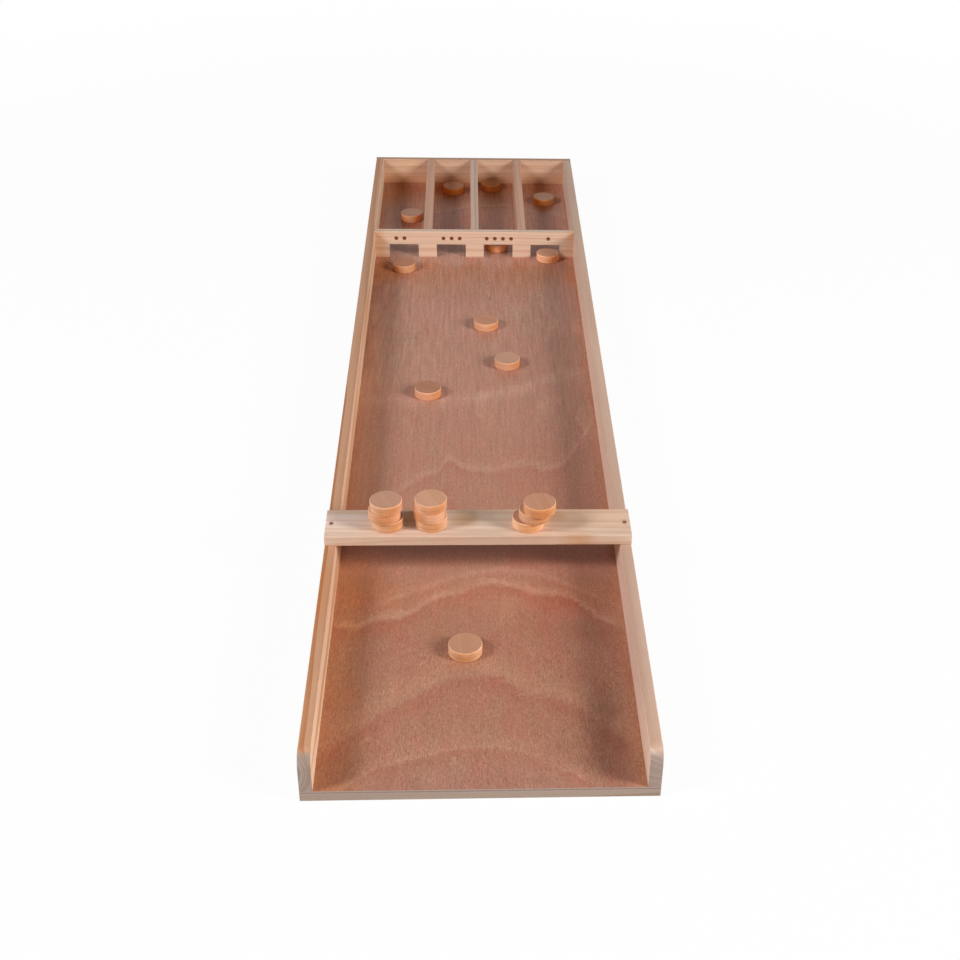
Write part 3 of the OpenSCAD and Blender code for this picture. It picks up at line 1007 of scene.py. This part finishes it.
@dataclass
class ScoreDots:
    """The painted dots over the gates, one drop of paint in each drilled dimple of the gate board.

    Attributes:
        scores: how many dots each gate has, from the left.
        shift_mm: how far each group lies off its gate's middle.
        gates_apart, dots_apart: the distances between gates and between dots.
        over_foot: the dots' height over the gate board's foot.
        radius: the radius of a drop in its dimple.
        spill_r, spill_t: the radius and thickness of the paint that has run over the dimple's edge.
        back, rim: how deep the drop's back and its rim lie in the board.
        hollow: how much deeper than the rim its middle lies.
        around: how many steps its turn has.
    """

    scores: tuple[int, ...] = (2, 3, 4, 1)
    shift_mm: tuple[float, ...] = (-6.8, 0.8, 1.2, 5.8)
    gates_apart: float = 90 * MM
    dots_apart: float = 15.5 * MM
    over_foot: float = 38.7 * MM
    radius: float = 3.08 * MM
    spill_r: float = 3.8 * MM
    spill_t: float = 0.1 * MM
    back: float = 0.58 * MM
    rim: float = 0.04 * MM
    hollow: float = 0.14 * MM
    around: int = 32

    def centres(self) -> np.ndarray:
        """Sets the dots out across the board, group by group.

        Returns:
            Their places along the gate board, in metres.
        """
        middle = (len(self.scores) - 1) / 2
        groups = []
        for gate, (score, shift) in enumerate(zip(self.scores, self.shift_mm)):
            group = (gate - middle) * self.gates_apart + shift * MM
            groups.append(group + (np.arange(score) - (score - 1) / 2) * self.dots_apart)
        return np.concatenate(groups)

    def build(self) -> None:
        """Builds the drops as one piece.

        A drop's section is a flat back, a straight side, a thin round lip on the board's face, and a front
        that sinks towards its middle as the square of the distance from its rim.
        """
        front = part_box("gate_board")[0]
        inward = np.linspace(0, 1, 6) * self.radius
        face = -self.rim - self.hollow * (1 - (inward / self.radius) ** 2)
        turn = np.linspace(np.pi, 0, 7)
        middle, half = (self.spill_r + self.radius) / 2, (self.spill_r - self.radius) / 2
        lip = np.column_stack([middle + half * np.cos(turn), self.spill_t * np.sin(turn)])
        under = [[self.spill_r, -0.2 * self.spill_t], [self.radius, -0.2 * self.spill_t]]
        foot = [[self.radius, -self.back], [0.0, -self.back]]
        profile = np.vstack([np.column_stack([inward, face]), lip[1:], under, foot])
        points, faces = revolved(profile, self.around)
        upright = points @ np.array([[1, 0, 0], [0, 0, 1], [0, -1, 0]])
        drops = [upright + [across, front.y, front.z + self.over_foot] for across in self.centres()]
        starts = range(0, len(drops) * len(points), len(points))
        numbers = [[corner + start for corner in one] for start in starts for one in faces]
        piece = mesh_piece("score_dots", np.vstack(drops), numbers, "board")
        piece.data.materials.append(SCORE_PAINT.material())
        LOG.info("painted %d score dots", len(drops))


class Face(Enum):
    """What the colour of a disc's faces is multiplied by: each disc's own tone, with painted shade that keeps
    the faces darker than the side, deepest in SMOKED for a disc in a shaded compartment.
    """

    PLAIN = (0.655, 0.575, 0.570, 1.0)
    ROSY = (0.625, 0.590, 0.650, 1.0)
    LIGHT = (0.745, 0.705, 0.710, 1.0)
    TAN = (0.600, 0.505, 0.495, 1.0)
    BROWN = (0.510, 0.410, 0.395, 1.0)
    SMOKED = (0.460, 0.310, 0.170, 1.0)


class Fibres(Enum):
    """Which way a disc's fibres point, in degrees from the player's side towards the right."""

    AHEAD = 8.0
    SLANTED = 30.0
    ACROSS = 62.0
    AWAY = 118.0


class Side(Enum):
    """What the colour of a disc's side is multiplied by: painted light in PALE, and painted warm shade in
    HONEY, OILED and SMOKED, most of all on discs in the gates and compartments.
    """

    PLAIN = (1.0, 1.0, 1.0, 1.0)
    PALE = (1.03, 1.13, 1.15, 1.0)
    HONEY = (0.98, 0.90, 0.76, 1.0)
    OILED = (1.02, 0.85, 0.50, 1.0)
    SMOKED = (0.96, 0.64, 0.26, 1.0)


@dataclass(frozen=True)
class Look:
    """What sets one disc apart from the others, with pale for how much paler than most its side is: painted
    light where it is above 1, painted shade where it is below.
    """

    face: Face = Face.PLAIN
    fibres: Fibres = Fibres.AHEAD
    pale: float = 1.0
    side: Side = Side.PLAIN


# The side tints and pale shares below paint the light and shade that each disc gets where it lies.
LOOKS = {
    "lane_left_disc": Look(Face.BROWN, Fibres.ACROSS),
    "lane_middle_disc": Look(Face.TAN, Fibres.ACROSS),
    "lane_right_disc": Look(Face.ROSY, Fibres.ACROSS, 0.97),
    "front_disc": Look(side=Side.PALE),
    "gate_1_disc": Look(Face.BROWN, Fibres.AWAY, 0.86, Side.HONEY),
    "gate_4_disc": Look(Face.PLAIN, Fibres.SLANTED, 1.34),
    "comp_1_disc": Look(Face.ROSY, Fibres.ACROSS, 1.17, Side.HONEY),
    "comp_2_disc": Look(Face.TAN, Fibres.AWAY, 0.95, Side.SMOKED),
    "comp_3_disc": Look(Face.SMOKED, Fibres.AWAY, 0.82, Side.SMOKED),
    "comp_3_front_disc": Look(Face.PLAIN, Fibres.AWAY, 1.42, Side.HONEY),
    "comp_4_disc": Look(Face.ROSY, Fibres.AWAY, side=Side.OILED),
    "left_stack_disc_1": Look(Face.PLAIN, Fibres.SLANTED, side=Side.PALE),
    "left_stack_disc_3": Look(Face.ROSY, Fibres.SLANTED),
    "middle_stack_disc_1": Look(side=Side.PALE),
    "middle_stack_disc_2": Look(Face.PLAIN, Fibres.AWAY),
    "middle_stack_disc_3": Look(Face.LIGHT, Fibres.SLANTED),
    "right_stack_disc_1": Look(Face.PLAIN, Fibres.AHEAD, 1.12, Side.PALE),
    "right_stack_disc_2": Look(Face.PLAIN, Fibres.SLANTED),
    "right_stack_disc_3": Look(side=Side.HONEY),
}


@dataclass
class Discs:
    """The twenty turned beech discs: eleven that slide in the tray and three stacks of three on the crossbar.

    Attributes:
        around: how many steps a disc's turn has.
        edge_steps: how many steps its rounded edge has.
        edge_r: the radius of that edge.
        crown: how deep its faces are dished.
        seed: where the draws of grain start.
    """

    around: int = 96
    edge_steps: int = 7
    edge_r: float = 1.4 * MM
    crown: float = 0.12 * MM
    seed: int = 7

    def profile(self, radius: float, height: float) -> np.ndarray:
        """Half a disc's section: nearly flat faces, rounded edges and a straight side.

        Each edge is a quarter circle about a point one edge radius in from the side and the face. Each face
        sinks by the crown towards its middle as the square of the distance from the edge.

        Args:
            radius: the disc's radius.
            height: its thickness.

        Returns:
            Rows of (r, z), from the top's middle round to the foot's middle, with z = 0 at mid height.
        """
        flat = radius - self.edge_r
        turn = np.linspace(0, np.pi / 2, self.edge_steps)
        edge_out = flat + self.edge_r * np.sin(turn)
        edge_up = height / 2 - self.edge_r * (1 - np.cos(turn))
        inner = flat * np.array([0.0, 0.25, 0.5, 0.7, 0.85, 0.95, 0.99])
        dish = height / 2 - self.crown * (1 - (inner / flat) ** 2)
        upper = np.column_stack([np.append(inner, edge_out), np.append(dish, edge_up)])
        return np.vstack([upper, upper[::-1] * [1, -1]])

    def finish(self, look: Look) -> bpy.types.Material:
        """Builds the beech of a disc, or gives it again if a disc like it has it already.

        The tint of its faces takes back what sets its side apart, so only the side changes, with its painted
        light and shade.

        Args:
            look: how the disc looks.

        Returns:
            The material.
        """
        name = f"{look.face.name}_{look.side.name}_beech_{round(100 * look.pale)}".lower()
        if name in bpy.data.materials:
            return bpy.data.materials[name]
        change = np.array(look.side.value) * [look.pale, look.pale, look.pale, 1.0]
        tones = (BEECH.early * change, BEECH.late * change, look.face.value / change)
        early, late, faces = (tuple(tone.tolist()) for tone in tones)
        species = replace(BEECH, early=early, late=late, top_tint=faces)
        return Wood(name, species, lathed=True).material()

    def build(self) -> None:
        """Builds the discs in the order of their names, each with its own place and direction in the log."""
        draw = np.random.default_rng(self.seed)
        for name in sorted(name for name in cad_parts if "disc" in name):
            low, high = (np.array(corner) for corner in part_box(name))
            centre = (low + high) / 2
            points, faces = revolved(self.profile((high[0] - low[0]) / 2, high[2] - low[2]), self.around)
            look = LOOKS.get(name, Look())
            heading = math.radians(look.fibres.value + draw.uniform(-8, 8))
            along = np.array([np.sin(heading), -np.cos(heading), 0.0])
            across = np.array([np.cos(heading), np.sin(heading), 0.0])
            in_log = np.column_stack([points @ across, points @ along, points[:, 2]]) / MM
            start = draw.uniform([-30, 0, 60], [30, 5000, 130])
            piece = mesh_piece(f"{name}_turned", points + centre, faces, name)
            normals = np.zeros(len(points) * 3, np.float32)
            piece.data.vertices.foreach_get("normal", normals)
            give(piece, "timber", "FLOAT_VECTOR", "vector", in_log + start)
            give(piece, "end_grain", "FLOAT", "value", (normals.reshape(-1, 3) @ along) ** 2)
            piece.data.materials.append(self.finish(look))
            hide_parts(name)
            LOG.info("turned %s", name)


@dataclass(frozen=True)
class Softbox:
    """A soft lamp that hangs at its place and faces the board's middle."""

    name: str
    place: Triple
    size: Pair
    watts: float
    colour: Triple

    def hang(self) -> None:
        """Hangs the lamp."""
        data = bpy.data.lights.new(self.name, "AREA")
        data.shape = "RECTANGLE"
        data.size, data.size_y = self.size
        data.energy = self.watts
        data.color = self.colour
        lamp = bpy.data.objects.new(self.name, data)
        facing = (Vector((0.0, -0.1, 0.0)) - Vector(self.place)).to_track_quat("-Z", "Y")
        lamp.matrix_world = Matrix.LocRotScale(Vector(self.place), facing, None)
        bpy.context.scene.collection.objects.link(lamp)


@dataclass(frozen=True)
class Studio:
    """The camera at the photograph's place, the pale floor and the soft light.

    Attributes:
        eye: the camera's place.
        pitch, yaw, roll: how it looks down, turns to the right and tips, in degrees.
        focal_px: its focal length in pixels of the photograph's frame.
        centre_px: where its axis meets that frame.
        frame_px: the frame's side.
        film_mm: the film's width.
        horizon, zenith: how bright the room is at eye level and overhead.
        warmth: the colour of the room's light.
        reach: how far the floor reaches.
        floor_z: its height, a hair under the battens.
        lamps: the soft lamps.
    """

    eye: Triple = (-0.0141, -2.1118, 1.2337)
    pitch: float = 33.354
    yaw: float = 3.766
    roll: float = 1.913
    focal_px: float = 1483.93
    centre_px: Pair = (549.58, 480.03)
    frame_px: float = 960.0
    film_mm: float = 36.0
    horizon: float = 0.36
    zenith: float = 0.06
    warmth: Colour = (1.04, 0.98, 0.86, 1.0)
    reach: float = 12.0
    floor_z: float = -0.2 * MM
    lamps: tuple[Softbox, ...] = (
        Softbox("right_softbox", (4.4, -2.5, 2.75), (1.2, 2.2), 245.0, (1.0, 1.0, 1.02)),
        Softbox("left_softbox", (-4.2, -2.3, 3.6), (1.3, 1.7), 195.0, (0.98, 1.0, 1.07)),
    )

    def camera(self) -> None:
        """Sets up the camera."""
        angles = (-self.yaw, "Z"), (90.0 - self.pitch, "X"), (self.roll, "Z")
        yaw, tilt, roll = (Matrix.Rotation(math.radians(angle), 4, axis) for angle, axis in angles)
        data = bpy.data.cameras.new("photo_camera")
        data.sensor_width = self.film_mm
        data.lens = self.focal_px * self.film_mm / self.frame_px
        data.shift_x = (self.frame_px / 2 - self.centre_px[0]) / self.frame_px
        data.shift_y = (self.centre_px[1] - self.frame_px / 2) / self.frame_px
        data.clip_end = 100.0
        camera = bpy.data.objects.new("photo_camera", data)
        camera.matrix_world = Matrix.Translation(self.eye) @ yaw @ tilt @ roll
        bpy.context.scene.collection.objects.link(camera)
        bpy.context.scene.camera = camera

    def room(self) -> None:
        """Sets the light all round, brightest at the horizon, and plain white where the camera sees it."""
        bpy.context.scene.world = bpy.data.worlds.new("studio")
        recipe = Recipe(bpy.context.scene.world)
        direct = recipe.direct()
        height = abs(recipe.flow("TexCoord", output="Generated").part(2))
        light = recipe.flow("MapRange", {"Value": height, "To Min": self.horizon, "To Max": self.zenith})
        strength = recipe.flow("MapRange", {"Value": direct, "To Min": light})
        glow = {"Color": direct.blend(self.warmth, WHITE), "Strength": strength}
        recipe.node("OutputWorld", {"Surface": recipe.flow("Background", glow)})

    def ground(self) -> None:
        """Lays the studio floor."""
        reach, low = self.reach, self.floor_z
        mesh = bpy.data.meshes.new("studio_floor")
        corners = [(-reach, -reach, low), (reach, -reach, low), (reach, reach, low), (-reach, reach, low)]
        mesh.from_pydata(corners, [], [(0, 1, 2, 3)])
        mesh.materials.append(StagePaint().material())
        floor = bpy.data.objects.new("studio_floor", mesh)
        bpy.context.scene.collection.objects.link(floor)

    def build(self) -> None:
        """Sets up the camera, the light and the floor."""
        self.camera()
        self.room()
        self.ground()
        for lamp in self.lamps:
            lamp.hang()
        bpy.context.scene.view_settings.view_transform = "Standard"
        LOG.info("set up the studio")


def main() -> None:
    """Builds the studio, then the timber, the score dots and the discs."""
    logging.basicConfig(level=logging.INFO, format="%(message)s")
    Studio().build()
    Timberwork().build()
    ScoreDots().build()
    Discs().build()


if __name__ == "__main__":
    main()
